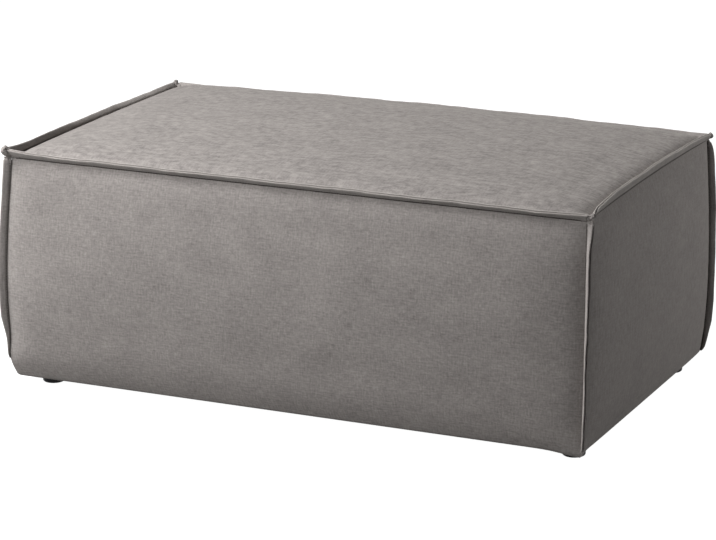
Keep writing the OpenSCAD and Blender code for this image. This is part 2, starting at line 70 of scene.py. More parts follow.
# Lists by corner or by side are in the order of CORNER_NAMES and SIDE_NAMES
CORNER_BOW = np.array([11, 1, 7, 6]) * MM
SEAM_LIFT = np.array([0, 5, 5, 2]) * MM
LOW_BULGE = np.array([5, 0, 0, 0]) * MM
BULGE_HEIGHT = 42 * MM
BULGE_SPREAD = 26 * MM
BULGE_REACH = 60 * MM

# The hem hangs lower over the front right foot: how far, its reach along the front and
# along the right side, its reach upwards, and its reach under the turned edge
HEM_DROOP = 5 * MM
DROOP_ALONG = np.array([36, 14]) * MM
DROOP_UP = 16 * MM
DROOP_UNDER = 3 * MM

# The padding's layers under the face of the cover
WADDING = 5 * MM
SIDE_FOAM = 5 * MM
WADDING_IN = CLOTH + SOFT_GAP
FOAM_IN = WADDING_IN + WADDING + SOFT_GAP
BOARD_IN = HEM_INSET + FOAM_IN + SIDE_FOAM + SOFT_GAP

# The flanges stand out by their width. A corner flange starts above the hem, is narrower
# at its foot, widens from there at the power of its taper, and has a rounded end
FLANGE_WIDTH = 13 * MM
FLANGE_START = np.array([26, 0, 0, 0]) * MM
FLANGE_FOOT = np.array([2.5, 7, 6, 6]) * MM
FLANGE_FADE = np.array([70, 50, 50, 50]) * MM
FLANGE_TAPER = [1.25, 1, 1, 1]
FLANGE_END = 9 * MM

# How far a flange sways, and the shares by which its width and its fullness vary
FLANGE_SWAY = 1 * MM
WIDTH_SHARE = 0.035
FULLNESS_SHARE = 0.12

# A top flange's tilt in degrees at its start, middle and end
SEAM_TILT = [(52, 50, 46), (80, 86, 72), (20, 25, 14), (20, 38, 72)]

# A corner flange's lean at the seat and at the hem, its turn beside its ear, and what is
# left of its width there
CORNER_LEAN = np.radians([(-25, -25), (0, -15), (0, 0), (0, 0)])
CORNER_TURN = np.radians([-5, 35, 0, 0])
TURN_REACH = 26 * MM
NECK = np.array([13, 12, 4, 5]) * MM
NECK_REACH = 12 * MM

# An ear's tip as its reach to the side, to the front or back, and up, and how thick it
# is. The top flanges lean into the ears, and the flanges' ends leave room for them
EAR_TIP = np.array([(12, 8.5, 15), (14, 6, 11), (7.5, 5, 9), (6, 9.5, 8.5)]) * MM
EAR_ROUND = np.array([7.4, 3.8, 4.6, 4.6]) * MM
EAR_REACH = 26 * MM
EAR_ROOM = 7.3 * MM

# The ears' lumps, each as a size and a depth, and their creases
EAR_LUMPS = [(5 * MM, 0.9 * MM), (2.4 * MM, 0.35 * MM)]
CREASE_SIZE = 7 * MM
CREASE_DEPTH = 1.2 * MM
CREASE_SHARPNESS = 0.08

# How strongly the flanges' rims are painted paler as a painted highlight, from where outwards,
# and up to where the flanges' roots by the stitches are painted darker as painted shade
TOP_RIM_HIGHLIGHT = [0.35, 0.9, 0.5, 0.5]
CORNER_RIM_HIGHLIGHT = [0.5, 0, 0, 0.4]
HIGHLIGHT_FROM = 10.8 * MM
HIGHLIGHT_FADE = 2 * MM
SEAM_SHADE_TO = 3 * MM
SEAM_SHADE_FADE = 1.4 * MM

# The stitches, and how far they lie out from the seam and to each side of it
STITCH_LENGTH = 3.6 * MM
STITCH_GAP = 0.8 * MM
STITCH_OUT = 1.6 * MM
STITCH_ASIDE = 0.85 * MM
THREAD_ROUND = 0.4 * MM

# Sides and corners are numbered anticlockwise from above, as in the CAD model
FRONT, RIGHT, BACK, LEFT = range(4)
SIDE_NAMES = ["front", "right", "back", "left"]
CORNER_NAMES = ["front_left", "front_right", "back_right", "back_left"]
CORNER_SIGN = np.array([[-1, -1], [1, -1], [1, 1], [-1, 1]])
OUTWARD = np.array([[0, -1, 0], [1, 0, 0], [0, 1, 0], [-1, 0, 0]])
UP = np.array([0, 0, 1])
COVER_RISE = SEAM_HEIGHT - HEM_HEIGHT

# Spacing of the cloth's mesh before it is refined
CLOTH_STEP = 9 * MM

# How far a panel starts under its padded face, the most that it may swell past it, how
# softly it comes to lie on it, and the length of its simulation
PUFF = 1.5 * MM
PUFF_CAP = 3.5 * MM
PUFF_REST = 0.4 * MM
PUFF_FRAMES = 20

# The reach from the held edges in which a panel's start deepens, and its swelling grows
PUFF_START = 40 * MM
PUFF_EDGE = 5 * MM

# Puckers along the seams and slow hollows in the padding: the size and depth of their
# lumps, and how far from the seams they start and the puckers end
PUCKER_SIZE = 17 * MM
PUCKER_DEPTH = 0.7 * MM
PUCKER_START = 3 * MM
PUCKER_FADE = 16 * MM
HOLLOW_SIZE = 90 * MM
HOLLOW_DEPTH = 1.2 * MM
HOLLOW_START = 40 * MM

# The dust cover: how high its cloth lies above its solid's underside, how far its middle
# sags, and its turned-in edge, which is thicker. Its staples stand in from the edge
DUST_RISE = 0.55 * MM
DUST_SAG = 0.25 * MM
SAG_REACH = 60 * MM
TURNED_IN = 12 * MM
TURNED_THICK = 0.25 * MM
STAPLE_INSET = 7 * MM
STAPLE_PITCH = 55 * MM
STAPLE_HALF = 5 * MM
STAPLE_LEG = 1.5 * MM
STAPLE_ROUND = 0.35 * MM


def side_run(k):
    return SEAM_LENGTH if k % 2 == 0 else SEAM_DEPTH


def up(z):
    return np.maximum(0, (z - HEM_HEIGHT) / COVER_RISE)


def roll(distance, reach):
    return 1 - np.exp(-np.maximum(0, distance) / reach)


def fullness(t):
    return np.sin(np.pi * np.clip(t, 0, 1) ** 0.75)


def arch(u):
    return 1 - (2 * u - 1) ** 2


def unit(v):
    return v / np.linalg.norm(v, axis=-1, keepdims=True)


def low_bulge(k, z):
    """How far a corner is puffed out below its flange's end."""
    return LOW_BULGE[k] * np.exp(-((z - BULGE_HEIGHT) / BULGE_SPREAD) ** 2)


def corner_point(k, inset, z):
    """The seam at corner k, moved in by inset, at the heights z."""
    reach = CORNER_BOW[k] * fullness(up(z)) + low_bulge(k, z) - HEM_INSET * (1 - up(z)) - inset
    x = CORNER_SIGN[k][0] * (SEAM_LENGTH / 2 + reach)
    y = CORNER_SIGN[k][1] * (SEAM_DEPTH / 2 + reach)
    return np.stack(np.broadcast_arrays(x, y, z), axis=-1)


def side_point(k, u, inset, z):
    """The padded side k, u of the way along it, moved in by inset, at the heights z."""
    u, inset, z = np.broadcast_arrays(u, inset, z)
    start, end = corner_point(k, inset, z), corner_point((k + 1) % 4, inset, z)
    t = up(z)
    along = roll(u * side_run(k), SIDE_ROLL) * roll((1 - u) * side_run(k), SIDE_ROLL)
    rise = roll(t * COVER_RISE, SIDE_ROLL) * roll((1 - t) * COVER_RISE, SIDE_ROLL)
    swell = SIDE_SHOULDER * along * rise + SIDE_DOME * arch(u) * fullness(t)
    for corner, away in ((k, u), ((k + 1) % 4, 1 - u)):
        swell = swell + low_bulge(corner, z) * (np.exp(-away * side_run(k) / BULGE_REACH) - 1 + away)
    lift = SEAM_LIFT[k] * arch(u) * t * t
    return start + (end - start) * u[..., None] + OUTWARD[k] * swell[..., None] + UP * lift[..., None]


def seat_point(u, v, depth):
    """The padded seat at a depth, u of the way to the right and v of the way back."""
    u, v = np.broadcast_arrays(u, v)
    z = np.full(u.shape, SEAM_HEIGHT - depth)
    front, right = side_point(FRONT, u, depth, z), side_point(RIGHT, v, depth, z)
    back, left = side_point(BACK, 1 - u, depth, z), side_point(LEFT, 1 - v, depth, z)
    a, b = u[..., None], v[..., None]
    corners = [corner_point(k, depth, z) for k in range(4)]
    flat = (
        (1 - a) * (1 - b) * corners[0]
        + a * (1 - b) * corners[1]
        + a * b * corners[2]
        + (1 - a) * b * corners[3]
    )
    ends = roll(u * SEAM_LENGTH, SHORT_SEAM_ROLL) * roll((1 - u) * SEAM_LENGTH, SHORT_SEAM_ROLL)
    shoulder = ends * roll(v * SEAM_DEPTH, LONG_SEAM_ROLL) * roll((1 - v) * SEAM_DEPTH, LONG_SEAM_ROLL)
    crown = TOP_SHOULDER * shoulder + TOP_DOME * arch(u) * arch(v)
    return (1 - b) * front + b * back + (1 - a) * left + a * right - flat + UP * crown[..., None]


# Grids of points: rows of columns, refined and thickened, and turned into meshes
def refine(grid):
    """Twice as fine along both of the grid's ways, on a smooth curve through its points."""
    for way in (0, 1):
        g = np.moveaxis(grid, way, 0)
        padded = np.concatenate([[2 * g[0] - g[1]], g, [2 * g[-1] - g[-2]]])
        middle = (9 * (padded[1:-2] + padded[2:-1]) - padded[:-3] - padded[3:]) / 16
        finer = np.empty((2 * len(g) - 1, *g.shape[1:]))
        finer[::2] = g
        finer[1::2] = middle
        grid = np.moveaxis(finer, 0, way)
    return grid


def grid_normals(grid):
    across = np.gradient(grid, axis=1)
    along = np.gradient(grid, axis=0)
    return unit(np.cross(across, along))


def quads(rows, columns, start=0):
    """Faces of a grid of points, numbered from start, that face along its normals."""
    at = start + np.arange(rows * columns).reshape(rows, columns)
    return np.stack([at[:-1, :-1], at[:-1, 1:], at[1:, 1:], at[1:, :-1]], axis=-1).reshape(-1, 4)


def ring_quads(rings, sides, start=0):
    """Faces of a tube of rings of points, each ring anticlockwise as seen from ahead."""
    at = start + np.arange(rings * sides).reshape(rings, sides)
    turned = np.roll(at, -1, axis=1)
    return np.stack([at[:-1], turned[:-1], turned[1:], at[1:]], axis=-1).reshape(-1, 4)


def add_piece(name, points, faces, cloth_place=None):
    """A mesh object, smooth but for its sharp edges, with each point's place on its cloth
    as a UV map in metres."""
    mesh = bpy.data.meshes.new(name)
    mesh.from_pydata(points.reshape(-1, 3).tolist(), [], [list(map(int, f)) for f in faces])
    mesh.shade_smooth()
    mesh.set_sharp_from_angle(angle=math.radians(50))
    if cloth_place is not None:
        corner = np.empty(len(mesh.loops), dtype=np.int32)
        mesh.loops.foreach_get("vertex_index", corner)
        layer = mesh.uv_layers.new(name="cloth")
        layer.data.foreach_set("uv", cloth_place.reshape(-1, 2)[corner].ravel())
    mesh.update()
    piece = bpy.data.objects.new(name, mesh)
    bpy.context.scene.collection.objects.link(piece)
    return piece


def layer(face, back):
    """Points and faces of a closed solid between a face and a back grid of the same size."""
    rows, columns = face.shape[:2]
    count = rows * columns
    at = np.arange(count).reshape(rows, columns)
    rim = np.concatenate([at[0, :-1], at[:-1, -1], at[-1, :0:-1], at[:0:-1, 0]])
    turned = np.roll(rim, -1)
    edge = np.stack([turned, rim, rim + count, turned + count], axis=-1)
    faces = np.concatenate([quads(rows, columns), quads(rows, columns, count)[:, ::-1], edge])
    return np.concatenate([face.reshape(-1, 3), back.reshape(-1, 3)]), faces


def joined(solids):
    """The points and faces of several solids as one."""
    points, faces, count = [], [], 0
    for solid_points, solid_faces in solids:
        points.append(solid_points.reshape(-1, 3))
        faces += [[count + i for i in face] for face in solid_faces]
        count += len(points[-1])
    return np.concatenate(points), faces


def tube(rings):
    """Points and faces of a closed tube through rings of points."""
    count, sides = rings.shape[:2]
    caps = [list(range(sides))[::-1], [(count - 1) * sides + j for j in range(sides)]]
    return rings.reshape(-1, 3), list(ring_quads(count, sides)) + caps


def wire_along(path, radius, sides=6):
    """A closed round tube along a path of points."""
    path = np.asarray(path, dtype=float)
    ahead = unit(np.gradient(path, axis=0))
    aside = np.cross(ahead, UP + 0.01 * ahead[0])
    aside = unit(np.where(np.linalg.norm(aside, axis=-1, keepdims=True) < 1e-6, [1.0, 0, 0], aside))
    across = np.cross(ahead, aside)
    turn = np.linspace(0, 2 * math.pi, sides, endpoint=False)
    ring = np.cos(turn)[None, :, None] * aside[:, None] + np.sin(turn)[None, :, None] * across[:, None]
    return tube(path[:, None] + radius * ring)


def fused(name, solids, grain, rounds):
    """Solids that cross each other, made into one smooth skin of quads of a given size."""
    rough = add_piece(name + "_rough", *joined(solids))
    remesh = rough.modifiers.new("skin", "REMESH")
    remesh.mode = "VOXEL"
    remesh.voxel_size = grain
    smooth = rough.modifiers.new("soften", "SMOOTH")
    smooth.factor = 0.5
    smooth.iterations = rounds
    mesh = rough.evaluated_get(bpy.context.evaluated_depsgraph_get()).to_mesh()
    points = np.empty(3 * len(mesh.vertices))
    mesh.vertices.foreach_get("co", points)
    faces = [list(face.vertices) for face in mesh.polygons]
    normals = np.empty(3 * len(mesh.vertices))
    mesh.vertices.foreach_get("normal", normals)
    bpy.data.objects.remove(rough)
    return points.reshape(-1, 3), faces, normals.reshape(-1, 3)


def unevenness(points, size, depth):
    """Smooth noise at each point, whose lumps have a size, from about -depth to depth."""
    return np.array([depth * noise.noise(Vector(p) / size) for p in points.reshape(-1, 3).tolist()])


# Colours and materials
def linear(colour):
    """Linear red, green and blue of an sRGB hex colour."""
    parts = [int(colour[i:i + 2], 16) / 255 for i in (1, 3, 5)]
    return tuple(c / 12.92 if c <= 0.04045 else ((c + 0.055) / 1.055) ** 2.4 for c in parts) + (1,)


def add(tree, kind, inputs=(), **settings):
    """Adds a node. Inputs are pairs of a socket's name or number and a value or an output."""
    made = tree.nodes.new(kind)
    for name, value in settings.items():
        setattr(made, name, value)
    for name, value in inputs:
        if isinstance(value, bpy.types.NodeSocket):
            tree.links.new(value, made.inputs[name])
        else:
            made.inputs[name].default_value = value
    return made


def new_material(name, roughness, **sockets):
    """A material with one Principled shader; further sockets are named in words."""
    material = bpy.data.materials.new(name)
    material.use_nodes = True
    tree = material.node_tree
    shader = tree.nodes["Principled BSDF"]
    shader.inputs["Roughness"].default_value = roughness
    for words, value in sockets.items():
        shader.inputs[words.replace("_", " ")].default_value = value
    return material, tree, shader


def toned(tree, value, dark, light, low=0.0, high=1.0):
    """A colour that goes from dark to light as a value goes from low to high."""
    share = add(tree, "ShaderNodeMapRange", [("Value", value), ("From Min", low), ("From Max", high)])
    mix = add(tree, "ShaderNodeMix", [
        (0, share.outputs[0]), (6, linear(dark)), (7, linear(light))], data_type="RGBA")
    return mix.outputs[2]


def stretched_noise(tree, place, sizes, detail=2.0):
    """Noise whose grains have the given sizes in metres along the place's axes."""
    scale = [1 / size for size in sizes]
    moved = add(tree, "ShaderNodeMapping", [("Vector", place), ("Scale", scale)])
    made = add(tree, "ShaderNodeTexNoise", [
        ("Vector", moved.outputs[0]), ("Scale", 1.0), ("Detail", detail), ("Roughness", 0.55)])
    return made.outputs[0]


def total(tree, *terms):
    """The sum of outputs, each times its weight."""
    running = None
    for value, weight in terms:
        running = add(tree, "ShaderNodeMath", [
            (0, value), (1, weight), (2, running or 0.0)], operation="MULTIPLY_ADD").outputs[0]
    return running


def woven_velour(name, weft_size, warp_size, weft_share, contrast, sheen=0.3):
    """Cover cloth: a chenille-and-velour weave of warm grey yarn, brushed on its face.
    Thick and thin yarns show as short lighter and darker slubs both ways, the nap lies
    in soft patches, and the pile catches light along every edge that turns away. The
    sizes are a slub's length and width, and the contrast is how far its colours part."""
    material, tree, shader = new_material(
        name, roughness=0.92, Sheen_Weight=sheen, Sheen_Roughness=0.4,
        Sheen_Tint=linear("#d8d2cc"), IOR=1.45, Specular_IOR_Level=0.2)
    place = add(tree, "ShaderNodeUVMap", uv_map="cloth").outputs[0]
    # Slubs in such yarn are about 1 mm wide, too fine to show, and are drawn at 2.6 mm or more
    weft = stretched_noise(tree, place, (weft_size[0], weft_size[1], 1))
    warp = stretched_noise(tree, place, (warp_size[1], warp_size[0], 1))
    # The real threads are 0.6 mm apart, too fine to show, so the grain is drawn at 3 mm
    grain = stretched_noise(tree, place, (3.4 * MM, 2.8 * MM, 1), detail=3.0)
    nap = stretched_noise(tree, place, (70 * MM, 50 * MM, 1))
    yarn = total(tree, (weft, weft_share), (warp, 0.58 - weft_share), (grain, 0.26), (nap, 0.16))
    colour = toned(tree, yarn, "#7d7876", "#ada7a3", 0.5 - 0.25 / contrast, 0.5 + 0.25 / contrast)
    # Painted highlight: the folded rims of the flanges are painted paler, where light catches them.
    # Painted shade: the flanges' roots, where the seam is stitched, are painted darker
    for mark, tone in (("rim_highlight", "#c6c0bb"), ("pressed", "#4a4643")):
        share = add(tree, "ShaderNodeAttribute", attribute_name=mark).outputs["Fac"]
        colour = add(tree, "ShaderNodeMix", [
            (0, share), (6, colour), (7, linear(tone))], data_type="RGBA").outputs[2]
    tree.links.new(colour, shader.inputs["Base Color"])
    relief = total(tree, (weft, 0.5), (warp, 0.4), (grain, 0.4))
    bump = add(tree, "ShaderNodeBump", [
        ("Height", relief), ("Distance", 0.5 * MM), ("Strength", 0.4)])
    tree.links.new(bump.outputs[0], shader.inputs["Normal"])
    return material


def sewing_thread():
    """Core-spun polyester thread: two plies twisted tight, a little glossier than cloth."""
    material, tree, shader = new_material("sewing_thread", roughness=0.55, IOR=1.5)
    place = add(tree, "ShaderNodeTexCoord").outputs["Object"]
    twist = stretched_noise(tree, place, (0.5 * MM, 0.5 * MM, 0.5 * MM))
    colour = toned(tree, twist, "#6f6a66", "#8c8783", 0.3, 0.7)
    tree.links.new(colour, shader.inputs["Base Color"])
    return material


def soft_material(name, dark, light, sizes, relief, roughness=0.95, detail=3.0, **sockets):
    """Fibres or cells: noise of the given sizes colours the surface and roughens it."""
    material, tree, shader = new_material(name, roughness, **sockets)
    place = add(tree, "ShaderNodeTexCoord").outputs["Object"]
    lumps = stretched_noise(tree, place, sizes, detail)
    colour = toned(tree, lumps, dark, light, 0.3, 0.7)
    tree.links.new(colour, shader.inputs["Base Color"])
    bump = add(tree, "ShaderNodeBump", [("Height", lumps), ("Distance", relief), ("Strength", 0.7)])
    tree.links.new(bump.outputs[0], shader.inputs["Normal"])
    return material


def cut_foam():
    """Flexible polyurethane foam, sawn: pale straw yellow with an open, matt cell face."""
    # Such foam has cells of about 0.6 mm, drawn at 1.6 mm to show
    return soft_material("cut_foam", "#cdbf92", "#e6dab0", (1.6 * MM,) * 3, 0.8 * MM)


def polyester_wadding():
    """Carded polyester wadding: white loose fibres in drawn-out clouds, with a faint sheen."""
    return soft_material(
        "polyester_wadding", "#d9d8d4", "#f1f0ed", (22 * MM, 6 * MM, 6 * MM), 2 * MM, Sheen_Weight=0.3)


def needled_felt():
    """Recycled needle felt: short fibres of many colours pressed into a flecked grey mat."""
    return soft_material(
        "needled_felt", "#5c5a57", "#9a9792", (3 * MM, 2 * MM, 2 * MM), 0.6 * MM, detail=5.0)


def spunbond_cloth():
    """Spunbond polypropylene: black, thin, with a grid of small welded dots that glint."""
    material, tree, shader = new_material("spunbond_cloth", roughness=0.7, IOR=1.5)
    place = add(tree, "ShaderNodeTexCoord").outputs["Object"]
    # The real welds are 1 mm apart, and drawn at 2 mm to show
    dots = add(tree, "ShaderNodeTexVoronoi", [
        ("Vector", place), ("Scale", 1 / (2 * MM)), ("Randomness", 0.25)]).outputs["Distance"]
    # Painted glint: the welded dots are painted lighter than the cloth between them
    colour = toned(tree, dots, "#2b2b2c", "#161617", 0.2, 0.6)
    tree.links.new(colour, shader.inputs["Base Color"])
    bump = add(tree, "ShaderNodeBump", [("Height", dots), ("Distance", 0.3 * MM), ("Strength", 0.6)])
    tree.links.new(bump.outputs[0], shader.inputs["Normal"])
    return material


def timber(name, along, early, late, ring, roughness):
    """Planed wood with its grain along an axis: drawn-out rings, fine pores, no lacquer."""
    material, tree, shader = new_material(name, roughness, IOR=1.5)
    place = add(tree, "ShaderNodeTexCoord").outputs["Object"]
    sizes = [ring] * 3
    sizes[along] = 60 * ring
    rings = stretched_noise(tree, place, sizes, detail=2.0)
    bands = add(tree, "ShaderNodeMath", [(0, rings), (1, 9.0)], operation="MULTIPLY").outputs[0]
    bands = add(tree, "ShaderNodeMath", [(0, bands)], operation="SINE").outputs[0]
    pores = [0.6 * MM] * 3
    pores[along] = 14 * MM
    fine = stretched_noise(tree, place, pores, detail=3.0)
    late_wood = add(tree, "ShaderNodeMapRange", [("Value", bands), ("From Min", -1.0)]).outputs[0]
    colour = toned(tree, total(tree, (late_wood, 0.65), (fine, 0.35)), early, late)
    tree.links.new(colour, shader.inputs["Base Color"])
    bump = add(tree, "ShaderNodeBump", [("Height", fine), ("Distance", 0.15 * MM), ("Strength", 0.5)])
    tree.links.new(bump.outputs[0], shader.inputs["Normal"])
    return material


def planed_pine(along):
    """Kiln-dried pine: cream early wood with amber late-wood bands, left bare."""
    # Such pine has rings of 2 to 4 mm, drawn wider to show
    return timber("planed_pine_" + "xyz"[along], along, "#e2c79a", "#c39a63", 9 * MM, 0.62)


def turned_beech():
    """Beech dowel: even pinkish tan with short darker flecks."""
    return timber("turned_beech", 1, "#d9b68d", "#c09a70", 4 * MM, 0.55)


def pressed_hardboard():
    """Tempered hardboard: brown wood fibre pressed hot, a smooth face with fine flecks."""
    return soft_material(
        "pressed_hardboard", "#6b4a30", "#8a6544", (2.5 * MM, 2.5 * MM, 2.5 * MM), 0.08 * MM,
        roughness=0.45, detail=6.0, IOR=1.5)


def worn_metal(name, dark, light, roughness, lump):
    """Metal whose finish is a little uneven, in colour and in gloss."""
    material, tree, shader = new_material(name, roughness, Metallic=1.0)
    place = add(tree, "ShaderNodeTexCoord").outputs["Object"]
    clouds = stretched_noise(tree, place, (lump,) * 3, detail=4.0)
    colour = toned(tree, clouds, dark, light, 0.3, 0.7)
    tree.links.new(colour, shader.inputs["Base Color"])
    gloss = add(tree, "ShaderNodeMapRange", [
        ("Value", clouds), ("To Min", roughness + 0.08), ("To Max", roughness - 0.08)])
    tree.links.new(gloss.outputs[0], shader.inputs["Roughness"])
    return material


def zinc_plate():
    """Bright zinc plating on screws and clips: pale blue-grey, softly mirror-like."""
    return worn_metal("zinc_plate", "#a9abac", "#c8cacb", 0.32, 3 * MM)


def blued_wire():
    """Hard-drawn spring wire, blued by its stress relief: dark grey with a satin face."""
    return worn_metal("blued_wire", "#4b4d52", "#6a6c70", 0.38, 5 * MM)


def moulded_foot_plastic():
    """Polypropylene foot, injection moulded: black, with a fine spark-eroded grain."""
    material, tree, shader = new_material(
        "moulded_foot_plastic", roughness=0.5, IOR=1.49, Specular_IOR_Level=0.15)
    place = add(tree, "ShaderNodeTexCoord").outputs["Object"]
    # The real grain is 0.1 mm, and drawn at 0.6 mm to show
    grain = stretched_noise(tree, place, (0.6 * MM,) * 3)
    scuffs = stretched_noise(tree, place, (12 * MM, 12 * MM, 4 * MM))
    colour = toned(tree, scuffs, "#101011", "#19191b")
    tree.links.new(colour, shader.inputs["Base Color"])
    bump = add(tree, "ShaderNodeBump", [("Height", grain), ("Distance", 0.05 * MM), ("Strength", 0.6)])
    tree.links.new(bump.outputs[0], shader.inputs["Normal"])
    return material


VELOUR = woven_velour("woven_velour", (15 * MM, 2.6 * MM), (12 * MM, 2.6 * MM), 0.3, 1.6)
# Seen flat, the top's slubs are drawn wider, and on the short sides the upright ones lead
TOP_VELOUR = woven_velour("woven_velour_top", (16 * MM, 8 * MM), (22 * MM, 3.2 * MM), 0.4, 1.9)
# The pile stands up along the folded flanges and catches more light
FLANGE_VELOUR = woven_velour(
    "woven_velour_fold", (15 * MM, 2.6 * MM), (12 * MM, 2.6 * MM), 0.34, 1.3, sheen=0.7)
SIDE_VELOUR = woven_velour("woven_velour_side", (14 * MM, 3 * MM), (14 * MM, 4.5 * MM), 0.2, 1.1)
THREAD = sewing_thread()
FOAM = cut_foam()
FIBRE = polyester_wadding()
FELT = needled_felt()
SPUNBOND = spunbond_cloth()
ZINC = zinc_plate()


def dress(piece, material, slot, *nodes):
    """Gives a piece its material, and the slot is not used; it rides on the part and stands for its
    nodes.
    """
    piece.data.materials.clear()
    piece.data.materials.append(material)
    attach(piece, "root")
    if nodes:
        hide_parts(*nodes)
    return piece


def paint(material, *nodes):
    """Gives CAD nodes whose shape is right their finish."""
    for node in nodes:
        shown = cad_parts[node]
        shown.data.materials.clear()
        shown.data.materials.append(material)


# The cover's five panels, puffed out by their padding in a short cloth simulation
def steps(length):
    return np.linspace(0, 1, int(round(length / CLOTH_STEP)) + 1)


def cloth_places(grid):
    """Each point's place on the cloth, from the lengths along the grid's middle lines."""
    rows, columns = grid.shape[:2]
    across = np.linalg.norm(np.diff(grid[rows // 2], axis=0), axis=-1)
    along = np.linalg.norm(np.diff(grid[:, columns // 2], axis=0), axis=-1)
    u = np.concatenate([[0], np.cumsum(across)])
    v = np.concatenate([[0], np.cumsum(along)])
    return np.stack(np.meshgrid(u, v), axis=-1)


def edge_distance(grid, first_row):
    """How far each point of a panel is from its nearest held edge."""
    place = cloth_places(grid)
    u, v = place[..., 0], place[..., 1]
    low = v - v[first_row, 0]
    return np.maximum(0, np.minimum(np.minimum(u, u.max() - u), np.minimum(low, v.max() - v)))


def puffed(grid, first_row):
    """The panel after its padding has pushed it out against its held edges. The rows up to
    first_row and the other three edges are sewn or stapled fast."""
    normals, far = grid_normals(grid), edge_distance(grid, first_row)
    start = grid - normals * (PUFF * roll(far, PUFF_START))[..., None]
    rows, columns = grid.shape[:2]
    sheet = add_piece("puffing", start, quads(rows, columns))
    held = sheet.vertex_groups.new(name="held")
    fast = np.zeros((rows, columns), dtype=bool)
    fast[:first_row + 1] = fast[-1] = fast[:, 0] = fast[:, -1] = True
    held.add(np.flatnonzero(fast).tolist(), 1.0, "REPLACE")
    cloth = sheet.modifiers.new("cloth", "CLOTH")
    cloth.collision_settings.use_collision = False
    cloth.point_cache.frame_end = PUFF_FRAMES
    weave = cloth.settings
    weave.quality = 6
    weave.mass = 0.3
    weave.tension_stiffness = weave.compression_stiffness = 30
    weave.shear_stiffness = 10
    weave.bending_stiffness = 4
    weave.vertex_group_mass = "held"
    weave.use_pressure = True
    weave.uniform_pressure_force = 4
    weave.effector_weights.gravity = 0
    for step in range(1, PUFF_FRAMES + 1):
        bpy.context.scene.frame_set(step)
    mesh = sheet.evaluated_get(bpy.context.evaluated_depsgraph_get()).to_mesh()
    moved = np.empty(3 * rows * columns)
    mesh.vertices.foreach_get("co", moved)
    bpy.data.objects.remove(sheet)
    bpy.context.scene.frame_set(1)
    out = ((moved.reshape(grid.shape) - grid) * normals).sum(axis=-1)
    out = PUFF_REST * np.log1p(np.exp(np.clip(out / PUFF_REST, -30, 30)))
    out = PUFF_CAP * np.tanh(out / PUFF_CAP) * roll(far, PUFF_EDGE)
    return grid + normals * out[..., None]


def make_panel(name, grid, shift, cloth, first_row=0):
    """A panel of cloth with its thickness behind the grid. Its weave starts at shift."""
    grid = refine(puffed(grid, first_row))
    place = cloth_places(grid)
    # Small puckers where the stitches hold the cloth, which die away from the seams
    far = edge_distance(grid, 2 * first_row)
    lumps = unevenness(grid, PUCKER_SIZE, 1.0).reshape(far.shape)
    rise = PUCKER_DEPTH * lumps * np.exp(-far / PUCKER_FADE) * roll(far, PUCKER_START)
    slow = unevenness(grid, HOLLOW_SIZE, HOLLOW_DEPTH).reshape(far.shape) * roll(far, HOLLOW_START)
    grid = grid + grid_normals(grid) * (rise + slow)[..., None]
    back = grid - grid_normals(grid) * CLOTH
    points, faces = layer(grid, back)
    place = np.concatenate([place.reshape(-1, 2)] * 2) + shift
    piece = add_piece(name + "_panel", points, faces, place)
    return dress(piece, cloth, "cover_cloth", name)


def make_top():
    u, v = steps(SEAM_LENGTH), steps(SEAM_DEPTH)[:, None]
    make_panel("top_cover", seat_point(u, v, 0), 0.0, TOP_VELOUR)


def make_side(k):
    u = steps(side_run(k))
    turn = np.linspace(0, math.pi / 2, 7)
    under = np.linspace(TURN_UNDER, HEM_ROUND, 5)[:-1]
    rise = np.linspace(HEM_ROUND, COVER_RISE, int(COVER_RISE / CLOTH_STEP))[1:]
    inset = np.concatenate([under, HEM_ROUND * (1 - np.sin(turn)), 0 * rise])[:, None]
    height = HEM_HEIGHT + np.concatenate([0 * under, HEM_ROUND * (1 - np.cos(turn)), rise])[:, None]
    first_row = len(under) + len(turn) - 1
    face = side_point(k, u, inset, height)
    if k in (FRONT, RIGHT):
        # The hem hangs lower at the front right corner, in front of its foot
        away = (1 - u if k == FRONT else u) * side_run(k)
        hang = np.exp(-(away / DROOP_ALONG[k]) ** 2) * np.exp(-(height - HEM_HEIGHT) / DROOP_UP)
        face[..., 2] -= HEM_DROOP * hang * np.exp(-np.maximum(0, inset - HEM_ROUND) / DROOP_UNDER)
    cloth = SIDE_VELOUR if k % 2 else VELOUR
    make_panel(SIDE_NAMES[k] + "_cover", face, 2.0 + k, cloth, first_row)


# The flanges: a seam's two edges, each folded double, stitched side by side, with a soft
# rim and a groove between the two. Half of the section, out from the seam and across
HALF_FLANGE = np.array([
    [-0.6, 1.3], [0.6, 1.1], [1.6, 0.8], [2.4, 1.3], [4.0, 2.0], [6.0, 2.4], [9.0, 2.65],
    [11.2, 2.75], [12.4, 2.6], [13.0, 2.15], [13.2, 1.5], [13.0, 0.9], [12.4, 0.5], [11.0, 0.25],
    [8.5, 0.12],
]) * MM
FLANGE_OUTLINE = np.concatenate([HALF_FLANGE, HALF_FLANGE[::-1] * [1, -1]])


def waves(s, seed):
    """A gentle unevenness along a seam, from -1 to 1, never the same for two seeds."""
    return (
        0.5 * np.sin(s / (31 * MM) + 1.7 * seed)
        + 0.3 * np.sin(s / (13.7 * MM) + 2.9 * seed)
        + 0.2 * np.sin(s / (6.1 * MM) + 4.3 * seed))


def run_along(points):
    return np.concatenate([[0], np.cumsum(np.linalg.norm(np.diff(points, axis=0), axis=-1))])


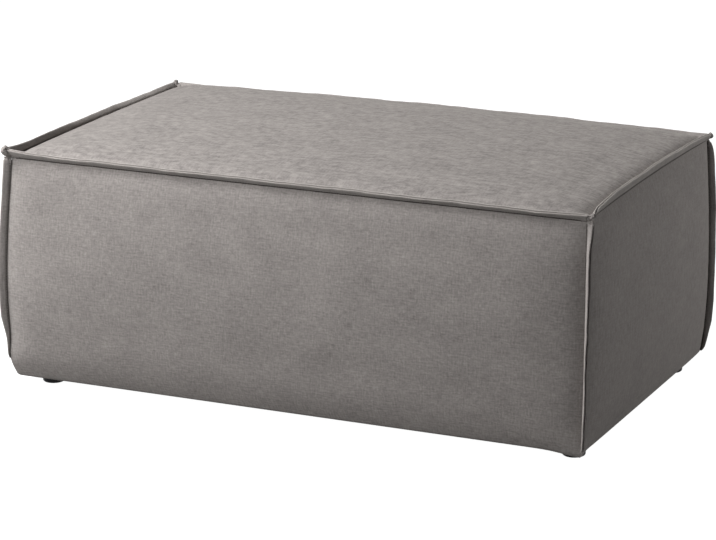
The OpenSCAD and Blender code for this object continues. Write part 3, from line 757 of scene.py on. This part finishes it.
def make_flange(name, roots, tips, seed, rim_highlight):
    """A flange between root points and tip points. Its rim is painted paler, a painted highlight
    of a strength from 0 to 1, and its root darker, a painted shade. Returns the lines of
    stitches on its two faces."""
    s = run_along(roots)
    reach = unit(tips - roots)
    width = np.linalg.norm(tips - roots, axis=-1)
    across = unit(np.cross(reach, np.gradient(roots, axis=0)))
    out = FLANGE_OUTLINE[:, 0] / FLANGE_WIDTH
    sway = FLANGE_SWAY * waves(s, seed)
    uneven = 1 + WIDTH_SHARE * waves(s, seed + 0.5)
    puff = 1 + FULLNESS_SHARE * waves(1.7 * s, seed + 0.8)
    grid = (
        roots[:, None]
        + reach[:, None] * (width * uneven)[:, None, None] * out[None, :, None]
        + across[:, None] * (FLANGE_OUTLINE[None, :, 1] * puff[:, None]
                             + sway[:, None] * np.clip(out, 0, 1) ** 2)[..., None])
    around = run_along(FLANGE_OUTLINE)
    place = np.stack(np.meshgrid(around, s), axis=-1)[..., ::-1] + seed
    piece = add_piece(name + "_fold", *tube(grid), place)
    # Painted highlight: the rim of the section is painted paler
    highlighted = rim_highlight * np.clip((FLANGE_OUTLINE[:, 0] - HIGHLIGHT_FROM) / HIGHLIGHT_FADE, 0, 1)
    # Painted shade: the root of the section, in the seam's crease, is painted darker
    pressed = np.clip((SEAM_SHADE_TO - FLANGE_OUTLINE[:, 0]) / SEAM_SHADE_FADE, 0, 1)
    for look, share in (("rim_highlight", highlighted), ("pressed", pressed)):
        marks = piece.data.attributes.new(look, "FLOAT", "POINT")
        marks.data.foreach_set("value", np.tile(share, len(s)))
    dress(piece, FLANGE_VELOUR, "cover_cloth", name)
    return [(roots + reach * STITCH_OUT + across * side * STITCH_ASIDE, s) for side in (-1, 1)]


def stitch_row(line, s):
    """A row of lockstitches along a line of points with their distances s."""
    pitch = STITCH_LENGTH + STITCH_GAP
    made = []
    for n in range(int(s[-1] / pitch)):
        ends = n * pitch + STITCH_GAP / 2 + np.array([0, 0.15, 0.85, 1]) * STITCH_LENGTH
        path = np.stack([np.interp(ends, s, line[:, i]) for i in range(3)], axis=-1)
        ring = wire_along(path, THREAD_ROUND, 5)[0].reshape(4, 5, 3)
        for end in (0, 3):
            ring[end] = path[end] + 0.35 * (ring[end] - path[end])
        made.append(tube(ring))
    return made


def tilt_at(k, u):
    start, middle, end = SEAM_TILT[k]
    return np.radians(start * (1 - u) * (1 - 2 * u) + 4 * middle * u * (1 - u) + end * u * (2 * u - 1))


def ear_reach(k):
    return np.array([*CORNER_SIGN[k], 1]) * EAR_TIP[k]


def top_flange_lines(k, u):
    """The roots and tips of a top flange, which leans into the ear at each of its ends."""
    roots = side_point(k, u, 0.0, np.full(u.shape, SEAM_HEIGHT))
    tilt = tilt_at(k, u)[:, None]
    plain = FLANGE_WIDTH * (OUTWARD[k] * np.cos(tilt) + UP * np.sin(tilt))
    start = np.exp(-u * side_run(k) / EAR_REACH)[:, None]
    end = np.exp(-(1 - u) * side_run(k) / EAR_REACH)[:, None]
    lean = plain * (1 - start - end) + ear_reach(k) * start + ear_reach((k + 1) % 4) * end
    return roots, roots + lean


def make_top_flange(k):
    room = EAR_ROOM / side_run(k)
    u = np.linspace(room, 1 - room, int(side_run(k) / (3 * MM)))
    return make_flange(SIDE_NAMES[k] + "_top_flange", *top_flange_lines(k, u), k + 1, TOP_RIM_HIGHLIGHT[k])


def corner_flange_lines(k, z):
    """The roots and tips of a corner flange, which turns and narrows towards its ear."""
    low = HEM_HEIGHT + HEM_ROUND + FLANGE_START[k]
    angle = math.atan2(CORNER_SIGN[k][1], CORNER_SIGN[k][0])
    angle = angle + CORNER_LEAN[k][0] * up(z) + CORNER_LEAN[k][1] * (1 - up(z))
    angle = angle + CORNER_TURN[k] * np.exp(-(SEAM_HEIGHT - z) / TURN_REACH)
    out = np.stack([np.cos(angle), np.sin(angle), 0 * angle], axis=-1)
    grown = np.clip((z - low) / FLANGE_FADE[k], 0, 1) ** FLANGE_TAPER[k]
    width = FLANGE_FOOT[k] + (FLANGE_WIDTH - FLANGE_FOOT[k]) * grown
    width = width - (FLANGE_WIDTH - NECK[k]) * np.exp(-(SEAM_HEIGHT - z) / NECK_REACH)
    rounded = np.sqrt(1 - (1 - np.clip((z - low + 0.4 * MM) / FLANGE_END, 0, 1)) ** 2)
    roots = corner_point(k, 0.0, z)
    return roots, roots + out * (width * rounded)[:, None]


def make_corner_flange(k):
    low, high = HEM_HEIGHT + HEM_ROUND + FLANGE_START[k], SEAM_HEIGHT - 0.6 * EAR_ROOM
    # The rows lie closer together at the rounded foot
    z = low + (high - low) * np.linspace(0, 1, 130) ** 1.4
    return make_flange(CORNER_NAMES[k] + "_flange", *corner_flange_lines(k, z), k + 5, CORNER_RIM_HIGHLIGHT[k])


def fin(roots, tips, thick):
    """A flat rounded tube whose sections run from root points to tip points."""
    turn = np.linspace(0, 2 * math.pi, 16, endpoint=False)
    middle, half = (roots + tips) / 2, (tips - roots) / 2
    across = unit(np.cross(half, np.gradient(roots, axis=0) + 1e-9))
    across[-1] = across[-2]
    return tube(middle[:, None] + np.cos(turn)[None, :, None] * half[:, None] * 1.03
                + np.sin(turn)[None, :, None] * across[:, None] * np.reshape(thick, (-1, 1, 1)))


def make_ears():
    """The ears at the top corners, where three flanges are folded into one another."""
    ears = []
    for k in range(4):
        root = corner_point(k, 0.0, np.array(SEAM_HEIGHT))
        tip = ear_reach(k)
        solids = []
        for side, at_start in ((k, True), ((k + 3) % 4, False)):
            away = np.linspace(15 * MM, 0.5 * MM, 8) / side_run(side)
            roots, tips = top_flange_lines(side, away if at_start else 1 - away)
            thick = np.linspace(2.3, 2.6, 8) * MM
            solids.append(fin(roots, tips, thick))
        z = np.linspace(SEAM_HEIGHT - 13 * MM, SEAM_HEIGHT + 1 * MM, 8)
        roots, tips = corner_flange_lines(k, z)
        solids.append(fin(roots, tips, np.linspace(2.3, 2.5, 8) * MM))
        # The rolled tip, thickest where the layers are folded over each other, with a blunt end
        share = np.linspace(0.1, 1.0, 10)
        path = root + tip * share[:, None] + UP * (1.2 * MM * np.sin(3 * share))[:, None]
        thick = np.array([0.55, 0.7, 0.82, 0.92, 0.98, 1, 1, 1, 0.97, 0.85]) * EAR_ROUND[k]
        rings = wire_along(path, 1.0, 14)[0].reshape(10, 14, 3)
        solids.append(tube(path[:, None] + (rings - path[:, None]) * thick[:, None, None]))
        points, faces, normal = fused("ear", solids, 0.8 * MM, 2)
        rough = sum(unevenness(points + k, size, depth) for size, depth in EAR_LUMPS)
        creases = np.exp(-(unevenness(points + k, CREASE_SIZE, 1) / CREASE_SHARPNESS) ** 2)
        ears.append((points + normal * (rough - CREASE_DEPTH * creases)[:, None], faces))
    points, faces = joined(ears)
    place = np.stack([points[:, 0] + points[:, 1], points[:, 2] + 0.3 * points[:, 0]], axis=-1) + 9.0
    piece = add_piece("corner_ears_folds", points, faces, place)
    dress(piece, FLANGE_VELOUR, "cover_cloth", "corner_ears")


def make_cover():
    make_top()
    rows = []
    for k in range(4):
        make_side(k)
        rows += make_top_flange(k) + make_corner_flange(k)
    make_ears()
    stitches = [stitch for line, s in rows for stitch in stitch_row(line, s)]
    dress(add_piece("seam_stitches", *joined(stitches)), THREAD, "cover_cloth")


# The padding
def rough_grid(grid, size, depth):
    return grid + grid_normals(grid) * unevenness(grid, size, depth).reshape(*grid.shape[:2], 1)


def make_seat_foam():
    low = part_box("seat_foam")[0].z
    u, v = np.linspace(0, 1, 61), np.linspace(0, 1, 37)[:, None]
    face = seat_point(u, v, FOAM_IN)
    back = face.copy()
    back[..., 2] = low
    piece = add_piece("seat_foam_block", *layer(face, back))
    dress(piece, FOAM, "foam", "seat_foam")


def make_side_foam(k):
    node = SIDE_NAMES[k] + "_foam"
    low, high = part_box(node)
    u, z = np.linspace(0, 1, 61), np.linspace(low.z, high.z, 25)[:, None]
    face = side_point(k, u, FOAM_IN, z)
    face[..., 2] = z
    back = face.copy()
    x, y = SEAM_LENGTH / 2 - BOARD_IN, SEAM_DEPTH / 2 - BOARD_IN
    if k % 2 == 0:
        back[..., 0] = -OUTWARD[k][1] * x * (2 * u - 1)
        back[..., 1] = OUTWARD[k][1] * (y + SOFT_GAP)
    else:
        back[..., 0] = OUTWARD[k][0] * (x + SOFT_GAP)
        back[..., 1] = OUTWARD[k][0] * y * (2 * u - 1)
    piece = add_piece(node + "_pad", *layer(face, back))
    dress(piece, FOAM, "foam", node)


def make_wadding():
    u, v = np.linspace(0, 1, 91), np.linspace(0, 1, 55)[:, None]
    face = rough_grid(seat_point(u, v, WADDING_IN + 0.3 * MM), 25 * MM, 0.3 * MM)
    piece = add_piece("top_wadding_layer", *layer(face, seat_point(u, v, WADDING_IN + WADDING)))
    dress(piece, FIBRE, "wadding", "top_wadding")
    low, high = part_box("side_wadding")[0].z, SEAM_HEIGHT - WADDING_IN - SOFT_GAP
    sides = []
    for k in range(4):
        face = side_point(k, u, WADDING_IN + 0.1 * MM, np.linspace(low, high, 41)[:, None])
        back = side_point(k, u, FOAM_IN - SOFT_GAP, np.linspace(low, high - WADDING, 41)[:, None])
        sides.append(layer(face, back))
    piece = add_piece("side_wadding_layers", *joined(sides))
    dress(piece, FIBRE, "wadding", "side_wadding")


def level_grid(low, high, z, columns, rows):
    x = np.linspace(low.x, high.x, columns)
    y = np.linspace(low.y, high.y, rows)[:, None]
    return np.stack(np.broadcast_arrays(x, y, z), axis=-1)


def make_felt():
    low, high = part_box("spring_felt")
    face = level_grid(low, high, high.z, 97, 53)
    back = level_grid(low, high, low.z, 97, 53)
    edge = edge_distance(face, 0)
    face[..., 2] -= np.abs(unevenness(face, 40 * MM, 0.7 * MM)).reshape(edge.shape) * roll(edge, 20 * MM)
    piece = add_piece("spring_felt_mat", *layer(face, back))
    dress(piece, FELT, "felt", "spring_felt")


# The base
def staple(place, along):
    """A wire staple driven in from below at place, its crown along a direction."""
    half, leg = STAPLE_HALF * along, STAPLE_LEG * UP
    path = [place - half + leg, place - half + 0.3 * leg, place - 0.9 * half, place,
            place + 0.9 * half, place + half + 0.3 * leg, place + half + leg]
    return wire_along(np.array(path), STAPLE_ROUND, 6)


def over_a_foot(place):
    """Whether a foot, which is fixed first, leaves no room for a staple at a place."""
    for corner in CORNER_NAMES:
        low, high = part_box(corner + "_foot")
        if all(low[i] - STAPLE_INSET < place[i] < high[i] + STAPLE_INSET for i in (0, 1)):
            return True
    return False


def make_dust_cover():
    """Black cloth under the frame, turned in at its edges, pulled flat and stapled."""
    low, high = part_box("dust_cover")
    face = level_grid(low, high, low.z, 121, 73)[:, ::-1]
    edge = edge_distance(face, 0)
    sag = DUST_SAG * roll(edge, SAG_REACH)
    rim = TURNED_THICK * (edge < TURNED_IN)
    back = face.copy()
    back[..., 2] = high.z
    face[..., 2] += DUST_RISE - sag - rim
    piece = add_piece("dust_cover_sheet", *layer(face, back))
    staples = []
    for axis, other in ((0, 1), (1, 0)):
        run = high[axis] - low[axis] - 4 * STAPLE_INSET
        count = int(run / STAPLE_PITCH)
        along = np.eye(3)[axis]
        for n in range(count + 1):
            for edge_place in (low[other] + STAPLE_INSET, high[other] - STAPLE_INSET):
                place = np.zeros(3)
                place[axis] = low[axis] + 2 * STAPLE_INSET + run * n / count
                place[other] = edge_place
                place[2] = low.z - 0.1 * MM
                if not over_a_foot(place):
                    staples.append(staple(place, along))
    pins = add_piece("dust_cover_staples", *joined(staples))
    dress(pins, ZINC, "clip_steel")
    dress(piece, SPUNBOND, "dust_cover_cloth", "dust_cover")


def finish_frame():
    """The timber, boards and fasteners of the frame, each with its grain and finish."""
    pine = [planed_pine(axis) for axis in range(3)]
    rails = [side + "_" + level + "_rail" for side in SIDE_NAMES for level in ("top", "bottom")]
    for node in rails + ["middle_bottom_rail", "middle_stretcher"]:
        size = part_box(node)[1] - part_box(node)[0]
        paint(pine[0 if size.x > size.y else 1], node)
    paint(pine[2], "corner_posts", "middle_posts")
    paint(pine[0], "corner_blocks")
    paint(pressed_hardboard(), *[side + "_board" for side in SIDE_NAMES])
    paint(turned_beech(), "frame_dowels")
    paint(ZINC, "frame_screws", "foot_screws", "spring_clips")
    paint(blued_wire(), "zigzag_springs")
    paint(moulded_foot_plastic(), *[corner + "_foot" for corner in CORNER_NAMES])


make_cover()
make_wadding()
make_seat_foam()
for side in range(4):
    make_side_foam(side)
make_felt()
make_dust_cover()
finish_frame()


# The studio: a pale floor, soft lamps and the camera at the photograph's angle. A lamp
# has a name, a place, the length of its side in metres, and watts
FLOOR_HALF = 12.0
LAMP_AIM = (0, 0, 0.25)
LAMPS = [
    ("key_softbox", (-2.2, -0.9, 2.6), 1.0, 98),
    ("left_softbox", (-2.8, -1.13, 1.58), 0.8, 19),
    ("front_softbox", (-1.37, -2.01, 1.75), 0.8, 42),
    ("side_softbox", (2.0, 1.05, 0.65), 0.8, 13),
]
CAMERA_AZIMUTH = math.radians(24.13)
CAMERA_ELEVATION = math.radians(15.71)
CAMERA_DISTANCE = 4.975
CAMERA_TARGET = Vector((-0.0098, 0, 0.1698))
LENS_LENGTH = 154.56
SENSOR_WIDTH = 36


def make_floor():
    """Pale floor. The camera, gloss and glass see it white; that white covers its shadow."""
    mesh = bpy.data.meshes.new("floor")
    corners = [(x * FLOOR_HALF, y * FLOOR_HALF, 0) for x, y in CORNER_SIGN.tolist()]
    mesh.from_pydata(corners, [], [(0, 1, 2, 3)])
    floor = bpy.data.objects.new("floor", mesh)
    bpy.context.scene.collection.objects.link(floor)
    material = bpy.data.materials.new("pale_floor")
    material.use_nodes = True
    tree = material.node_tree
    tree.nodes.clear()
    path = add(tree, "ShaderNodeLightPath")
    seen = path.outputs["Is Camera Ray"]
    for ray in ("Is Glossy Ray", "Is Transmission Ray"):
        larger = add(tree, "ShaderNodeMath", [(0, seen), (1, path.outputs[ray])], operation="MAXIMUM")
        seen = larger.outputs[0]
    matt = add(tree, "ShaderNodeBsdfDiffuse", [("Color", linear("#909090"))])
    light = add(tree, "ShaderNodeEmission", [("Color", (1, 1, 1, 1)), ("Strength", seen)])
    both = add(tree, "ShaderNodeAddShader", [(0, matt.outputs[0]), (1, light.outputs[0])])
    add(tree, "ShaderNodeOutputMaterial", [("Surface", both.outputs[0])])
    mesh.materials.append(material)


def make_world():
    """A world that the camera sees white and that lights nothing."""
    world = bpy.data.worlds.new("studio")
    bpy.context.scene.world = world
    world.use_nodes = True
    tree = world.node_tree
    tree.nodes.clear()
    path = add(tree, "ShaderNodeLightPath")
    light = add(tree, "ShaderNodeBackground", [
        ("Color", (1, 1, 1, 1)), ("Strength", path.outputs["Is Camera Ray"])])
    add(tree, "ShaderNodeOutputWorld", [("Surface", light.outputs[0])])


def make_lamp(name, place, size, watts):
    lamp = bpy.data.lights.new(name, "AREA")
    lamp.shape = "SQUARE"
    lamp.size = size
    lamp.energy = watts
    holder = bpy.data.objects.new(name, lamp)
    holder.location = place
    holder.rotation_euler = (Vector(LAMP_AIM) - Vector(place)).to_track_quat("-Z", "Y").to_euler()
    bpy.context.scene.collection.objects.link(holder)


def make_camera():
    level = math.cos(CAMERA_ELEVATION)
    back = Vector((
        math.sin(CAMERA_AZIMUTH) * level, -math.cos(CAMERA_AZIMUTH) * level, math.sin(CAMERA_ELEVATION)))
    lens = bpy.data.cameras.new("camera")
    lens.lens = LENS_LENGTH
    lens.sensor_width = SENSOR_WIDTH
    camera = bpy.data.objects.new("camera", lens)
    camera.location = CAMERA_TARGET + back * CAMERA_DISTANCE
    camera.rotation_euler = (-back).to_track_quat("-Z", "Y").to_euler()
    bpy.context.scene.collection.objects.link(camera)
    bpy.context.scene.camera = camera


make_floor()
make_world()
for lamp in LAMPS:
    make_lamp(*lamp)
make_camera()
bpy.context.scene.view_settings.view_transform = "Standard"
